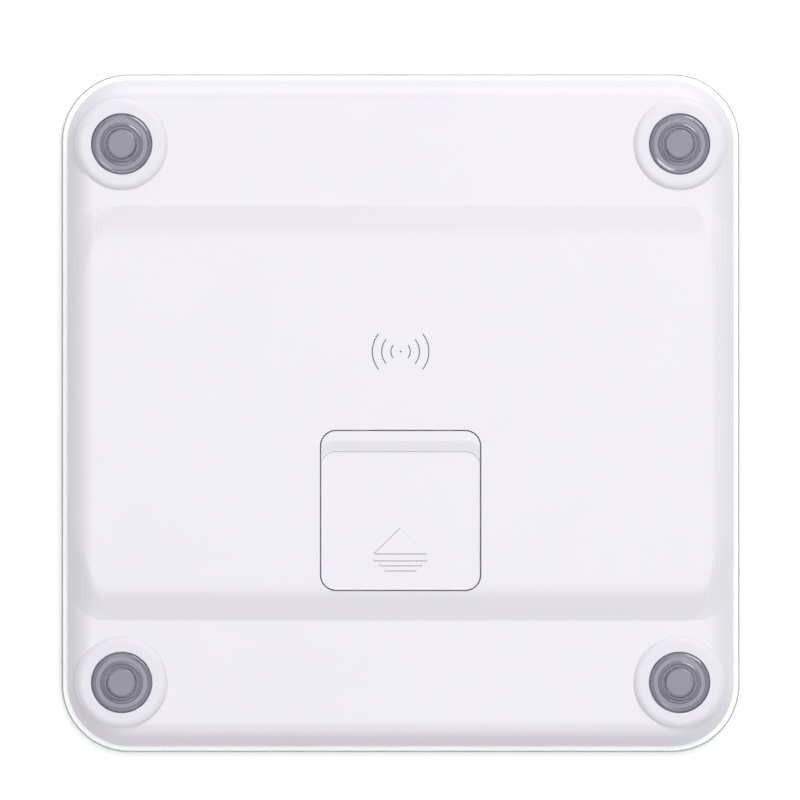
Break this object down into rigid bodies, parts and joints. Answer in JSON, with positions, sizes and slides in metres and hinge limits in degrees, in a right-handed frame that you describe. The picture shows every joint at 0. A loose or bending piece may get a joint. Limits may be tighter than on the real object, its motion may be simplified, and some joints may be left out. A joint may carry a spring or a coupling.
{
  "type": "digital body scale",
  "caption": "Square glass-topped digital body scale lying face down: moulded white underside with grey corrugated feet over load cells and a hinged battery door.",
  "frame": {"origin": "centre of the glass platform's outer face, on the surface that the scale lies on face down", "axes": "+Z out of the underside towards the feet, +Y towards the edge where the display sits, +X to the right when the underside is seen with the display edge at the top"},
  "size_m": [0.26, 0.26, 0.0225],
  "materials": {
    "white_plastic": "satin moulded, faint cool tint",
    "clear_glass": "clear tempered glass with a ground green edge",
    "white_enamel": "white print under the glass",
    "smoked_film": "smoked film over the digits",
    "inner_plastic": "plain moulded",
    "cell_sleeve": "printed sleeve on a steel can",
    "spring_steel": "bright drawn wire and screws",
    "nickel_steel": "nickel plated sheet",
    "grey_foam": "closed cell foam",
    "grey_plastic": "satin moulded, neutral grey",
    "grey_rubber": "soft moulded rings",
    "white_sleeve": "white wire sleeve",
    "red_sleeve": "red wire sleeve",
    "black_sleeve": "black wire sleeve",
    "board_laminate": "green solder mask",
    "black_epoxy": "domed epoxy",
    "display_black": "dark display face"
  },
  "bodies": {
    "scale_body": {"base_housing": "white_plastic", "glass_platform": "clear_glass", "enamel_layer": "white_enamel", "display_filter": "smoked_film", "battery_tray": "inner_plastic", "load_cell_frame_1": "inner_plastic", "load_cell_frame_2": "inner_plastic", "load_cell_frame_3": "inner_plastic", "load_cell_frame_4": "inner_plastic", "battery_cell_1": "cell_sleeve", "battery_cell_2": "cell_sleeve", "battery_cell_3": "cell_sleeve", "battery_cell_4": "cell_sleeve", "contact_spring_1": "spring_steel", "contact_spring_2": "spring_steel", "contact_spring_3": "spring_steel", "contact_spring_4": "spring_steel", "board_screw_1": "spring_steel", "board_screw_2": "spring_steel", "board_screw_3": "spring_steel", "board_screw_4": "spring_steel", "display_screw_1": "spring_steel", "display_screw_2": "spring_steel", "end_contact_1": "nickel_steel", "end_contact_2": "nickel_steel", "bridge_contact_1": "nickel_steel", "bridge_contact_2": "nickel_steel", "bridge_contact_3": "nickel_steel", "load_cell_1": "nickel_steel", "load_cell_2": "nickel_steel", "load_cell_3": "nickel_steel", "load_cell_4": "nickel_steel", "radio_module": "nickel_steel", "foot_diaphragm_1": "grey_rubber", "foot_diaphragm_2": "grey_rubber", "foot_diaphragm_3": "grey_rubber", "foot_diaphragm_4": "grey_rubber", "sensor_lead_1": "white_sleeve", "sensor_lead_2": "white_sleeve", "sensor_lead_3": "white_sleeve", "sensor_lead_4": "white_sleeve", "battery_socket": "white_sleeve", "battery_lead_red": "red_sleeve", "battery_lead_black": "black_sleeve", "main_board": "board_laminate", "display_board": "board_laminate", "processor_blob": "black_epoxy", "digit_display": "display_black"},
    "battery_door": {"battery_door": "white_plastic", "door_foam": "grey_foam"},
    "foot_1": {"foot_pad_1": "grey_plastic"},
    "foot_2": {"foot_pad_2": "grey_plastic"},
    "foot_3": {"foot_pad_3": "grey_plastic"},
    "foot_4": {"foot_pad_4": "grey_plastic"}
  },
  "joints": [
    {"name": "battery_door_hinge", "type": "hinge", "parent": "scale_body", "child": "battery_door", "pos_m": [0, -0.0068, 0.0208], "axis": [-1, 0, 0], "range_deg": [0, 100]},
    {"name": "foot_1_travel", "type": "slide", "parent": "scale_body", "child": "foot_1", "axis": [0, 0, -1], "range_m": [0, 0.0004], "stiffness_N_per_m": 100000},
    {"name": "foot_2_travel", "type": "slide", "parent": "scale_body", "child": "foot_2", "axis": [0, 0, -1], "range_m": [0, 0.0004], "stiffness_N_per_m": 100000},
    {"name": "foot_3_travel", "type": "slide", "parent": "scale_body", "child": "foot_3", "axis": [0, 0, -1], "range_m": [0, 0.0004], "stiffness_N_per_m": 100000},
    {"name": "foot_4_travel", "type": "slide", "parent": "scale_body", "child": "foot_4", "axis": [0, 0, -1], "range_m": [0, 0.0004], "stiffness_N_per_m": 100000}
  ]
}
